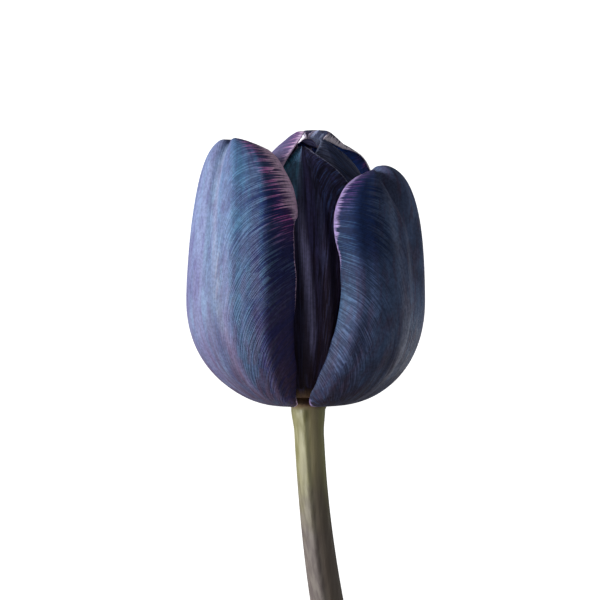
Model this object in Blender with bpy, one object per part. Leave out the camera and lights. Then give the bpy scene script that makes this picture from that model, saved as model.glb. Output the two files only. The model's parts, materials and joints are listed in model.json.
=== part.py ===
"""A cut tulip that lies on its side: a stem, three outer and three inner petals, a pistil and six stamens.

Run it with blender --background --python part.py, or from Blender's text editor.
The flower is modelled upright and in metres. Height is measured from the underside of the bloom,
depth away from the side that faces up once it lies down, and azimuth runs from that side to the right.
One empty then lays it on the surface z = 0, with its tips towards +Y.
"""

import math
from dataclasses import dataclass

import bmesh
import bpy
import numpy as np

MM = 0.001

# How the flower lies
AXIS_HEIGHT = 29.1 * MM  # the bloom's axis above the surface, which flattens the back petal's belly
BLOOM_Y = 27.0 * MM  # the underside of the bloom along Y, so that the origin is under the middle

# Clearance between neighbouring pieces, which are separate solids
SEAT_GAP = 0.3 * MM

# Width of a petal's furrow, as a share of half the petal
FURROW_WIDTH = 0.12

# How the base of a petal narrows: by what share, and over what share of its length
BASE_TAPER = 0.35
BASE_HEIGHT = 0.09

# Margins of a petal: how narrow the strip is that rolls in, and how it ends near the tip
ROLL_POWER = 6
ROLL_FADE = 0.75  # share of the roll that is gone at the tip
HEM_FROM = 0.78  # where the fold near the tip starts, as a share of the petal's length
HEM_IN = 0.9  # how far the fold goes in for each millimetre down

# How much thinner a petal is at its margins and at its tip, as shares
MARGIN_THINNER = 0.32
TIP_THINNER = 0.1

# Stem and receptacle
STEM_LENGTH = 120.0 * MM
STEM_NECK_RADIUS = 3.6 * MM
STEM_TOP_RADIUS = 4.15 * MM
STEM_END_RADIUS = 4.4 * MM
STEM_SIDES = 16
STEM_RINGS = 24
STEM_DRIFT = (0.9 * MM, 0.03, 1.4)  # sideways: start, slope and bend (per metre) of the upper stem
STEM_STRAIGHT_FROM = 46.0 * MM  # below this the stem keeps its slope
STEM_SLOPES = (0.06, 0.12)  # how fast it sinks towards the surface, at the bloom and at the cut
CUT_SLANT = 0.35  # rise over run of the slanting cut
LOWER_SEAT_RADIUS = 4.9 * MM
UPPER_SEAT_RADIUS = 3.9 * MM
RECEPTACLE_TOP = 6.2 * MM

# Pistil
PISTIL_HEIGHT = 25.0 * MM
OVARY_RADIUS = 2.8 * MM
STIGMA_RADIUS = 4.6 * MM
PISTIL_SIDES = 18

# Stamens
STAMEN_COUNT = 6
STAMEN_SEAT_RADIUS = 3.0 * MM
STAMEN_LEAN = 0.17
FILAMENT_RADIUS = 0.7 * MM
FILAMENT_LENGTH = 12.0 * MM
ANTHER_LENGTH = 13.0 * MM
ANTHER_RADIUS = 1.45 * MM
STAMEN_SIDES = 8


@dataclass
class Petal:
    """One petal. Points are (radius, height); spans are angles at even stations from base to tip."""

    name: str
    azimuth: float  # degrees
    swing: float  # degrees that the tip wanders round the bloom
    seat: tuple
    dip: tuple  # handle that draws the base out and down
    haunch: float  # how far under the belly the lower curve turns upright
    belly: tuple
    flank: float  # how far over the belly the side stays upright
    shoulder: tuple  # handle under the crown
    crown: tuple
    brow: tuple  # handle past the crown
    tip: tuple
    left_span: tuple  # degrees
    right_span: tuple
    cup: float  # how much more the petal is curved across than the bloom
    roll: tuple  # how much its left and right margins roll in
    hem: tuple  # how far its left and right margins fold in and down near the tip
    groove: tuple  # depth of the furrow over the midrib, at the base and at the tip; a ridge if below 0
    stray: float  # how far off the midrib the furrow ends, as a share of half the petal
    droop: float  # how far the margins hang below the midrib at the top
    twist: float  # how far the right margin stands out and the left one in
    lean: float  # sideways drift of the tip
    thickness: float
    columns: int
    rows: int


OUTER = dict(
    seat=(5.2 * MM, 1.0 * MM),
    twist=0.0,
    thickness=1.0 * MM,
    columns=18,
    rows=24,
)
INNER = dict(
    seat=(4.2 * MM, 3.7 * MM),
    dip=(11.0 * MM, -0.2 * MM),
    haunch=17.5 * MM,
    belly=(20.5 * MM, 27.0 * MM),
    flank=17.0 * MM,
    shoulder=(15.5 * MM, 54.0 * MM),
    cup=0.08,
    hem=(0.0, 0.0),
    thickness=0.8 * MM,
    columns=16,
    rows=20,
)

PETALS = (
    Petal(
        name="petal_outer_left",
        azimuth=-50.0,
        swing=0.0,
        dip=(7.4 * MM, -0.9 * MM),
        haunch=21.9 * MM,
        belly=(30.1 * MM, 26.0 * MM),
        flank=8.5 * MM,
        shoulder=(28.0 * MM, 63.4 * MM),
        crown=(23.2 * MM, 63.4 * MM),
        brow=(19.5 * MM, 63.4 * MM),
        tip=(17.5 * MM, 61.2 * MM),
        left_span=(54, 56, 57, 57, 56, 53, 47, 38, 4),
        right_span=(42, 41, 43.2, 43.2, 44.5, 43.5, 42.5, 32, 3),
        cup=0.155,
        roll=(0.035, 0.11),
        hem=(0.0, 0.0),
        groove=(0.1 * MM, 1.4 * MM),
        stray=0.0,
        droop=3.0 * MM,
        lean=0.0,
        **OUTER,
    ),
    Petal(
        name="petal_outer_right",
        azimuth=61.0,
        swing=0.0,
        dip=(12.8 * MM, -0.7 * MM),
        haunch=20.6 * MM,
        belly=(29.6 * MM, 26.0 * MM),
        flank=16.0 * MM,
        shoulder=(27.8 * MM, 57.4 * MM),
        crown=(21.0 * MM, 57.4 * MM),
        brow=(19.0 * MM, 57.3 * MM),
        tip=(18.0 * MM, 56.2 * MM),
        left_span=(44, 56.5, 51.5, 45, 39.5, 40, 42.5, 34, 3),
        right_span=(52, 52, 52, 52, 52, 50, 46, 34, 3),
        cup=0.155,
        roll=(0.105, 0.035),
        hem=(0.0, 0.0),
        groove=(0.1 * MM, 1.4 * MM),
        stray=-0.18,
        droop=2.6 * MM,
        lean=0.0,
        **OUTER,
    ),
    Petal(
        name="petal_outer_back",
        azimuth=180.0,
        swing=0.0,
        dip=(10.0 * MM, -0.9 * MM),
        haunch=21.0 * MM,
        belly=(29.9 * MM, 26.0 * MM),
        flank=15.0 * MM,
        shoulder=(26.5 * MM, 59.0 * MM),
        crown=(10.5 * MM, 64.6 * MM),
        brow=(5.0 * MM, 68.4 * MM),
        tip=(2.0 * MM, 62.8 * MM),
        left_span=(56, 56, 56, 56, 55, 55, 57, 68, 64),
        right_span=(56, 58, 59, 59, 58, 55, 50, 44, 34),
        cup=0.1,
        roll=(0.035, 0.035),
        hem=(2.4 * MM, 2.0 * MM),
        groove=(0.4 * MM, 0.0),
        stray=0.0,
        droop=0.6 * MM,
        lean=2.2 * MM,
        **OUTER,
    ),
    Petal(
        name="petal_inner_front",
        azimuth=0.0,
        swing=0.0,
        crown=(7.4 * MM, 61.4 * MM),
        brow=(6.6 * MM, 61.9 * MM),
        tip=(5.7 * MM, 62.2 * MM),
        left_span=(52, 58, 62, 64, 62, 60, 56, 44, 8),
        right_span=(52, 58, 62, 64, 60, 56, 50, 41, 10),
        roll=(0.0, 0.0),
        groove=(-0.25 * MM, -0.35 * MM),
        stray=0.0,
        droop=0.0,
        twist=1.65 * MM,
        lean=-0.8 * MM,
        **INNER,
    ),
    Petal(
        name="petal_inner_right",
        azimuth=120.0,
        swing=-66.0,
        crown=(6.5 * MM, 62.5 * MM),
        brow=(5.5 * MM, 63.5 * MM),
        tip=(4.6 * MM, 64.2 * MM),
        left_span=(52, 58, 62, 64, 66, 65, 62, 66, 14),
        right_span=(52, 54, 54, 54, 54, 56, 56, 31, 4),
        roll=(0.0, 0.14),
        groove=(0.0, 0.0),
        stray=0.0,
        droop=0.0,
        twist=1.7 * MM,
        lean=0.9 * MM,
        **INNER,
    ),
    Petal(
        name="petal_inner_left",
        azimuth=-120.0,
        swing=0.0,
        crown=(5.0 * MM, 64.0 * MM),
        brow=(3.8 * MM, 65.3 * MM),
        tip=(2.4 * MM, 66.2 * MM),
        left_span=(52, 58, 62, 64, 62, 60, 58, 48, 8),
        right_span=(52, 58, 62, 66, 71, 79, 88, 95, 108),
        roll=(0.0, 0.0),
        groove=(0.0, 0.0),
        stray=0.0,
        droop=0.0,
        twist=1.7 * MM,
        lean=0.4 * MM,
        **INNER,
    ),
)


def bezier(points, t):
    """Points of a cubic curve at the values t."""
    p = np.array(points, float)
    t = np.asarray(t)[:, None]
    s = 1 - t
    return s**3 * p[0] + 3 * s**2 * t * p[1] + 3 * s * t**2 * p[2] + t**3 * p[3]


def through(values, v):
    """A smooth curve through values that stand at even stations from v = 0 to v = 1."""
    k = np.array(values, float)
    x = np.clip(v, 0, 1) * (len(k) - 1)
    i = np.minimum(x.astype(int), len(k) - 2)
    f = x - i
    before, after = k[np.maximum(i - 1, 0)], k[np.minimum(i + 2, len(k) - 1)]
    here, there = k[i], k[i + 1]
    bend = 2 * before - 5 * here + 4 * there - after
    turn = 3 * (here - there) + after - before
    return here + 0.5 * f * (there - before + f * (bend + f * turn))


def rail(petal, v):
    """Radius and height of the midrib at even lengths, v = 0 at the seat and 1 at the tip."""
    belly, crown = np.array(petal.belly), np.array(petal.crown)
    t = np.linspace(0, 1, 60)
    curve = np.concatenate(
        [
            bezier([petal.seat, petal.dip, belly - (0, petal.haunch), belly], t),
            bezier([belly, belly + (0, petal.flank), petal.shoulder, crown], t)[1:],
            bezier([crown, petal.brow, petal.brow, petal.tip], t)[1:],
        ]
    )
    length = np.concatenate([[0], np.cumsum(np.linalg.norm(np.diff(curve, axis=0), axis=1))])
    at = v * length[-1]
    return np.interp(at, length, curve[:, 0]), np.interp(at, length, curve[:, 1])


def smooth(low, high, x):
    """0 below low, 1 above high, and a soft step between them."""
    t = np.clip((x - low) / (high - low), 0, 1)
    return t * t * (3 - 2 * t)


def petal_surface(petal, u, v):
    """Points of the outside of a petal. u runs from -1 at the left margin to 1 at the right one."""
    radius, height = rail(petal, v)
    left, right = through(petal.left_span, v), through(petal.right_span, v)
    taper = 1 - BASE_TAPER * (1 - smooth(0, BASE_HEIGHT, v))
    left, right = left * taper, right * taper
    turned = petal.azimuth + petal.swing * smooth(0.5, 1, v)
    angle = np.radians(turned + u * (left + right) / 2 + u * u * (right - left) / 2)
    edge = np.abs(u) ** ROLL_POWER
    roll = np.where(u < 0, *petal.roll) * (1 - ROLL_FADE * smooth(HEM_FROM, 1, v)) * edge
    hem = np.where(u < 0, *petal.hem) * smooth(HEM_FROM, 0.95, v) * edge
    depth = petal.groove[0] + (petal.groove[1] - petal.groove[0]) * smooth(0.3, 0.9, v)
    off = u - petal.stray * smooth(0.7, 1, v)
    furrow = depth * np.exp(-((off / FURROW_WIDTH) ** 2)) * smooth(0.02, 0.2, v)
    sunk = radius * (petal.cup * u**2 + roll) * smooth(0, 0.2, v)
    twist = petal.twist * u * smooth(0, 0.25, v) * (1 - 0.8 * smooth(0.92, 1, v))
    radius = radius - sunk - furrow - HEM_IN * hem + twist
    height = height - petal.droop * u**2 * smooth(0.6, 1, v) - furrow * smooth(0.6, 0.9, v) - hem
    x = radius * np.sin(angle) + petal.lean * smooth(0.5, 1, v)
    return x, -radius * np.cos(angle), height


def petal_grid(petal):
    """u and v of the grid's points: closer together at the midrib, and towards the tip."""
    t = np.linspace(-1, 1, petal.columns + 1)
    s = np.linspace(0, 1, petal.rows + 1)
    return np.meshgrid(t * (0.45 + 0.55 * np.abs(t)), s * (1.25 - 0.25 * s))


def material(name, colour, roughness):
    made = bpy.data.materials.new(name)
    made.use_nodes = True
    shader = made.node_tree.nodes["Principled BSDF"]
    shader.inputs["Base Color"].default_value = (*colour, 1)
    shader.inputs["Roughness"].default_value = roughness
    shader.inputs["Metallic"].default_value = 0
    return made


def add_object(name, mesh, coat, holder):
    obj = bpy.data.objects.new(name, mesh)
    mesh.materials.append(coat)
    mesh.shade_smooth()
    obj.parent = holder
    bpy.context.scene.collection.objects.link(obj)
    return obj


def make_petal(petal, coat, holder):
    """A grid of the petal's outside, thickened inwards; it is thinner towards its margins and tip."""
    u, v = petal_grid(petal)
    x, y, z = petal_surface(petal, u.ravel(), v.ravel())
    y = np.minimum(y, AXIS_HEIGHT)
    bm = bmesh.new()
    bmesh.ops.create_grid(bm, x_segments=petal.columns, y_segments=petal.rows, size=1)
    bm.verts.ensure_lookup_table()
    order = sorted(range(len(bm.verts)), key=lambda k: (round(bm.verts[k].co.y, 6), bm.verts[k].co.x))
    for place, k in enumerate(order):
        bm.verts[k].co = (x[place], y[place], z[place])
    bmesh.ops.triangulate(bm, faces=bm.faces)
    mesh = bpy.data.meshes.new(petal.name)
    bm.to_mesh(mesh)
    bm.free()
    obj = add_object(petal.name, mesh, coat, holder)
    wall = obj.vertex_groups.new(name="wall")
    for place, k in enumerate(order):
        edge = abs(u.ravel()[place])
        share = 1 - MARGIN_THINNER * float(smooth(0.6, 1, edge))
        share -= TIP_THINNER * float(smooth(0.5, 1, v.ravel()[place]))
        wall.add([k], share, "REPLACE")
    shell = obj.modifiers.new("thickness", "SOLIDIFY")
    shell.thickness = petal.thickness
    shell.offset = -1
    shell.vertex_group = "wall"
    return obj


def loft(name, rings, coat, holder):
    """A closed solid over rings of points, from the lowest ring to the highest."""
    bm = bmesh.new()
    loops = [[bm.verts.new(p) for p in ring] for ring in rings]
    for low, high in zip(loops, loops[1:]):
        for k in range(len(low)):
            n = (k + 1) % len(low)
            bm.faces.new((low[k], low[n], high[n], high[k]))
    bm.faces.new(loops[0][::-1])
    bm.faces.new(loops[-1])
    bmesh.ops.triangulate(bm, faces=bm.faces)
    mesh = bpy.data.meshes.new(name)
    bm.to_mesh(mesh)
    bm.free()
    return add_object(name, mesh, coat, holder)


def stem_centre(s):
    """Sideways place and depth of the stem's centre, s below the bloom."""
    start, slope, bend = STEM_DRIFT
    curved = np.minimum(s, STEM_STRAIGHT_FROM)
    end_slope = slope + 2 * bend * STEM_STRAIGHT_FROM
    x = start + slope * curved + bend * curved**2 + end_slope * (s - curved)
    drop = AXIS_HEIGHT - STEM_END_RADIUS
    t = s / STEM_LENGTH
    a, b = (k * STEM_LENGTH for k in STEM_SLOPES)
    y = t * a + t**2 * (3 * drop - 2 * a - b) + t**3 * (a + b - 2 * drop)
    return x, y


def stem_radius(s):
    neck = STEM_NECK_RADIUS + (STEM_END_RADIUS - STEM_NECK_RADIUS) * float(smooth(0.012, 0.07, s))
    return neck + (STEM_TOP_RADIUS - STEM_NECK_RADIUS) * float(1 - smooth(0, 0.006, s))


def make_stem(coat, holder):
    """The stem with the receptacle that the petals, stamens and pistil sit on."""
    turn = np.linspace(0, 2 * math.pi, STEM_SIDES, endpoint=False)
    rings = []
    for s in STEM_LENGTH * np.linspace(1, 0, STEM_RINGS + 1) ** 1.3:
        x, y = stem_centre(s)
        r = stem_radius(s)
        slant = CUT_SLANT * np.cos(turn) * r * (s == STEM_LENGTH)
        ring = [(x + r * math.cos(a), min(y + r * math.sin(a), AXIS_HEIGHT), -s - k) for a, k in zip(turn, slant)]
        rings.append(ring)
    profile = (
        (LOWER_SEAT_RADIUS, 0.5 * MM),
        (LOWER_SEAT_RADIUS, 2.6 * MM),
        (UPPER_SEAT_RADIUS, 3.1 * MM),
        (UPPER_SEAT_RADIUS, RECEPTACLE_TOP),
    )
    for r, z in profile:
        rings.append([(r * math.cos(a), r * math.sin(a), z) for a in turn])
    return loft("stem", rings, coat, holder)


def make_pistil(coat, holder):
    """Three-sided ovary with a three-lobed stigma on top."""
    turn = np.linspace(0, 2 * math.pi, PISTIL_SIDES, endpoint=False)
    base = RECEPTACLE_TOP + SEAT_GAP
    stations = (
        (0.00, 0.52 * OVARY_RADIUS, 0.0),
        (0.05, 0.56 * OVARY_RADIUS, 0.02),
        (0.20, 0.85 * OVARY_RADIUS, 0.08),
        (0.45, OVARY_RADIUS, 0.12),
        (0.65, 0.88 * OVARY_RADIUS, 0.12),
        (0.82, 0.62 * OVARY_RADIUS, 0.12),
        (0.88, 0.60 * OVARY_RADIUS, 0.18),
        (0.92, 0.74 * STIGMA_RADIUS, 0.30),
        (0.96, STIGMA_RADIUS, 0.34),
        (1.00, 0.86 * STIGMA_RADIUS, 0.36),
        (0.99, 0.40 * STIGMA_RADIUS, 0.20),
    )
    rings = []
    for share, r, lobes in stations:
        z = base + share * PISTIL_HEIGHT
        edge = r * (1 + lobes * np.cos(3 * turn))
        rings.append([(e * math.cos(a), e * math.sin(a), z) for e, a in zip(edge, turn)])
    return loft("pistil", rings, coat, holder)


def make_stamen(number, coat, holder):
    """A filament that leans out, and a long anther with a furrow down each face."""
    azimuth = math.radians(30 + 60 * number)
    out = np.array([math.sin(azimuth), -math.cos(azimuth), 0.0])
    side = np.array([math.cos(azimuth), math.sin(azimuth), 0.0])
    up = np.array([0.0, 0.0, 1.0])
    whole = FILAMENT_LENGTH + ANTHER_LENGTH
    stations = (
        (0.0, 1.0 * FILAMENT_RADIUS, 0.0),
        (0.5 * FILAMENT_LENGTH, 0.9 * FILAMENT_RADIUS, 0.0),
        (FILAMENT_LENGTH, 0.5 * FILAMENT_RADIUS, 0.0),
        (FILAMENT_LENGTH + 0.04 * ANTHER_LENGTH, 0.7 * ANTHER_RADIUS, 0.1),
        (FILAMENT_LENGTH + 0.15 * ANTHER_LENGTH, ANTHER_RADIUS, 0.25),
        (FILAMENT_LENGTH + 0.50 * ANTHER_LENGTH, ANTHER_RADIUS, 0.25),
        (FILAMENT_LENGTH + 0.85 * ANTHER_LENGTH, 0.8 * ANTHER_RADIUS, 0.2),
        (whole, 0.3 * ANTHER_RADIUS, 0.0),
    )
    rings = []
    for rise, r, furrow in stations:
        lean = STAMEN_LEAN * rise + 2.0 * MM * math.sin(math.pi * rise / whole / 2) ** 2
        centre = out * (STAMEN_SEAT_RADIUS + lean) + up * (RECEPTACLE_TOP + SEAT_GAP + rise)
        ring = []
        for a in np.linspace(0, 2 * math.pi, STAMEN_SIDES, endpoint=False):
            reach = r * (1 - furrow * math.cos(2 * a) - furrow / 2)
            ring.append(centre + reach * (out * math.cos(a) + side * math.sin(a)))
        rings.append(ring)
    return loft(f"stamen_{number + 1}", rings, coat, holder)


def main():
    for obj in list(bpy.data.objects):
        bpy.data.objects.remove(obj)
    lying = bpy.data.objects.new("lying", None)
    bpy.context.scene.collection.objects.link(lying)
    lying.rotation_euler = (math.radians(-90), 0, 0)
    lying.location = (0, BLOOM_Y, AXIS_HEIGHT)
    outer = material("outer_petal", (0.05, 0.055, 0.12), 0.45)
    inner = material("inner_petal", (0.035, 0.03, 0.07), 0.5)
    for petal in PETALS:
        make_petal(petal, outer if "outer" in petal.name else inner, lying)
    make_stem(material("stem_green", (0.30, 0.30, 0.18), 0.5), lying)
    make_pistil(material("pistil_green", (0.45, 0.48, 0.20), 0.5), lying)
    pollen = material("stamen_dark", (0.03, 0.02, 0.04), 0.8)
    for number in range(STAMEN_COUNT):
        make_stamen(number, pollen, lying)


main()
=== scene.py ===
"""A cut tulip in slate blue, lavender and aubergine, lying on a pale floor and seen from straight above."""

import json
import math
from dataclasses import dataclass

import bpy
import numpy as np
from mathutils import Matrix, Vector

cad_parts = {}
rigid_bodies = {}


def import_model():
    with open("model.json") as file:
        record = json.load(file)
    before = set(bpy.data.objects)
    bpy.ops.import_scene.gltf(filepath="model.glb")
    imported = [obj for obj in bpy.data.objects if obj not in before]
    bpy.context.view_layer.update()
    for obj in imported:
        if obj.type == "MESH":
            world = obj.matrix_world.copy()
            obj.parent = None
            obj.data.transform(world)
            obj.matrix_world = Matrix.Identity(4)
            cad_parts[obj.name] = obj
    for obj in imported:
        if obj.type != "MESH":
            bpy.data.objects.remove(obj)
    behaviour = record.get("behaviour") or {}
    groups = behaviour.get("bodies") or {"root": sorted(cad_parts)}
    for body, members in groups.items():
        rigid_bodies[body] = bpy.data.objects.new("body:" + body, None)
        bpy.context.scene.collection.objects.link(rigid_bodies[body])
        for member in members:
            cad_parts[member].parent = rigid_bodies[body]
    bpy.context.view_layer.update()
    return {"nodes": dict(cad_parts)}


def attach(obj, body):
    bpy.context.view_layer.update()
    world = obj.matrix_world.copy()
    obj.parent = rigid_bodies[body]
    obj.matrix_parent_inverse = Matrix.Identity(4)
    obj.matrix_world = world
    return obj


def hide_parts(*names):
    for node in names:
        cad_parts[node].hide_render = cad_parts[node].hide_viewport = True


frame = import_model()

MM = 0.001

# How the flower lies: the height of the bloom's axis over the floor, and where the bloom starts
AXIS_HEIGHT = 29.1 * MM
BLOOM_Y = 27.0 * MM

# Petals
FURROW_WIDTH = 0.12  # of the furrow over the midrib, as a share of half the petal's width
BASE_TAPER = 0.35  # how much narrower a petal is at its base
BASE_HEIGHT = 0.09  # how far up that goes, as a share of the petal's length
ROLL_POWER = 6  # the higher it is, the narrower is the strip of a margin that rolls in
ROLL_FADE = 0.75  # share of the roll that is gone at the tip
HEM_FROM = 0.78  # where the fold near the tip starts, as a share of the petal's length
HEM_IN = 0.9  # how far the fold goes in for each millimetre down
WAVE_POWER = 8  # the higher it is, the narrower is the strip of a margin that waves
FINE_WAVES = (0.5, 2.7)  # height and number of a margin's fine waves, as multiples of the main ones'
LOBE_POWER = 10  # the higher it is, the narrower is the strip of a margin that a lobe takes
LOBE_START = (-0.012, 0.004)  # where a lobe swells, up from its lower end, as shares of the length
LOBE_END = (0.06, 0.2)  # and where it goes back again
FINE_RIBS = 0.6  # height of a petal's fine ribs, as a share of the main ones'
PETAL_COLUMNS = 150
PETAL_ROWS = 210
MARGIN_SHARE = 0.38  # thickness at the margins, as a share of the middle's
TIP_THINNER = 0.1  # share of the thickness that is gone at the tip

# Veins
VEIN_CELL = 0.29 * MM  # about how far apart the veins are
VEIN_REACH = 9.0 * MM  # how far a vein runs before it changes
VEIN_RISE = 12.0 * MM  # how much further along its vein a point at the margin is than one at the midrib
VEIN_FAN = (0.35, 0.55, 0.9, 1.4, 2.0, 3.0, 5.0, 7.5, 9.0)  # slope of the veins at the margin, base to tip
VEIN_CURL = 0.5  # how late the veins bend away from the midrib
INNER_FAN = 0.4  # how far an inner petal's veins fan out, as a share of an outer petal's
PETAL_SEED = 11.7  # sets each petal's veins and spots apart from the one's before
FOLD_SEED = 5.3
FOLD_SEED_STEP = 7.1
LEAST_AREA = 1e-16  # keeps the sum right where the grid has no width
LEAST_STEEPNESS = 1e-8

# Folded tips beside the opening of the bloom
FOLD_COLUMNS = 28
FOLD_ROWS = 36
FOLD_THICKNESS = 0.32 * MM
FOLD_END = 0.12  # how wide a fold is at its end, as a share of its middle
FOLD_CRINKLE = (0.06, 9.0, 3.0)  # height as a share of the width, then radians across and along

# Stem
STEM_LENGTH = 120.0 * MM
STEM_NECK_RADIUS = 3.6 * MM  # a little below the bloom, where it is thinnest
STEM_TOP_RADIUS = 4.15 * MM
STEM_END_RADIUS = 4.4 * MM
STEM_SIDES = 96
STEM_RINGS = 240
STEM_CROWDING = 1.2  # above 1 the rings stand closer together near the bloom
STEM_DRIFT = (0.9 * MM, 0.03, 1.4)  # sideways start, slope and bend of its centre
STEM_STRAIGHT_FROM = 46.0 * MM
STEM_SLOPES = (0.06, 0.12)  # how fast it sinks to the floor at the bloom and at the cut
STEM_RIDGE = -1.91  # where round the stem its lengthwise ridge is, in radians from +X
STEM_RIDGE_DRIFT = 0.25  # how far the ridge winds round the stem down to the cut, in radians
STEM_FACETS = ((5, 0.034), (10, 0.012), (15, 0.004))  # how many go round, and their height over the radius
STEM_FACETS_FADE = 0.5  # share of the facets' height that is gone towards the cut
STEM_FINE_RIBS = (34, 0.0025)  # how many, and their height over the radius
STEM_RIBS_SWAY = (0.8, 40.0)  # how far the fine ribs sway, and radians for each metre of the stem
STEM_SLIMMER = 0.02  # keeps the ridges within the radius
CUT_SLANT = 0.35  # how far the cut rises for each millimetre across
CUT_RINGS = ((0.5 * MM, 0.0), (0.4 * MM, -0.12 * MM), (1.6 * MM, -0.1 * MM))  # width and depth, inwards
STEM_SHARPEST = math.radians(50)  # faces that meet at more than this angle have a sharp edge
STEM_LOWER_COLOURS = 42.0 * MM  # how far below the bloom they hold in full
LOWER_SEAT_RADIUS = 4.9 * MM
UPPER_SEAT_RADIUS = 3.9 * MM
SEAT_FROM = 0.94  # where the seat of the petals starts, as a share of the tube's rings
SEAT_PROFILE = (  # share of the seat's rings, height and radius
    (0.0, 0.0, STEM_TOP_RADIUS),
    (0.3, 1.3 * MM, LOWER_SEAT_RADIUS),
    (0.6, 2.6 * MM, LOWER_SEAT_RADIUS),
    (0.75, 3.1 * MM, UPPER_SEAT_RADIUS),
    (1.0, 6.2 * MM, UPPER_SEAT_RADIUS),
)

# Light and camera
WORLD_LIGHT = 0.17
KEY_LIGHT = dict(place=(-0.95, 0.10, 0.26), size=0.7, power=26.5)
RIM_LIGHT = dict(place=(0.9, -0.1, -0.05), size=0.4, power=1.6)
LOW_LIGHT = dict(place=(0.6, -0.2, -0.7), size=0.4, power=1.5)
TABLE_LIGHT = dict(place=(0.0, 0.05, 1.6), size=2.0, power=30.0)
LIGHT_AIM = (0, BLOOM_Y + 25 * MM, AXIS_HEIGHT)
FLOOR_SIZE = 8.0  # in metres
CAMERA_PLACE = (-1.2 * MM, BLOOM_Y + 25.9 * MM, AXIS_HEIGHT + 0.4)
CAMERA_LENS = 100
CAMERA_SENSOR = 36


@dataclass
class Petal:
    """One petal. Points are (radius, height); spans are angles at even stations from base to tip."""

    name: str
    node: str
    azimuth: float  # where round the bloom its midrib stands, in degrees
    seat: tuple  # where it starts
    dip: tuple  # pulls the curve out just above the seat
    haunch: float  # how far below the belly the curve keeps upright
    belly: tuple  # where it stands furthest out
    flank: float  # how far above the belly the curve keeps upright
    shoulder: tuple  # pulls the curve out below the crown
    crown: tuple  # where the top begins
    brow: tuple  # pulls the top's curve
    tip: tuple  # where it ends
    left_span: tuple
    right_span: tuple
    cup: float  # how far the sides curve in, as a share of the radius
    groove: tuple  # depth of the furrow over the midrib, low and high
    ribs: tuple  # height, then turns and phases of the shallow ribs that run up the petal
    waves: tuple  # height, number and phase of the waves in its margins
    thickness: float
    roll: tuple = (0.0, 0.0)  # how far the left and right margins roll in, as a share of the radius
    hem: tuple = (0.0, 0.0)  # how far the left and right margins fold down near the tip
    lobe: tuple = (0.5, 0.0)  # where the inner margin's lobe ends below, and its reach in degrees
    swing: float = 0.0  # how far its upper half turns round the bloom, in degrees
    stray: float = 0.0  # how far the furrow strays sideways at the tip
    droop: float = 0.0  # how far the top's corners hang below its middle
    twist: float = 0.0  # how far the right side stands out and the left one in
    lean: float = 0.0  # how far the top leans towards +X


OUTER = dict(
    seat=(5.2 * MM, 1.0 * MM),
    thickness=0.75 * MM,
)
INNER = dict(
    seat=(4.2 * MM, 3.7 * MM),
    dip=(11.0 * MM, -0.2 * MM),
    haunch=17.5 * MM,
    belly=(20.5 * MM, 27.0 * MM),
    flank=17.0 * MM,
    shoulder=(15.5 * MM, 54.0 * MM),
    cup=0.08,
    thickness=0.6 * MM,
)

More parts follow.
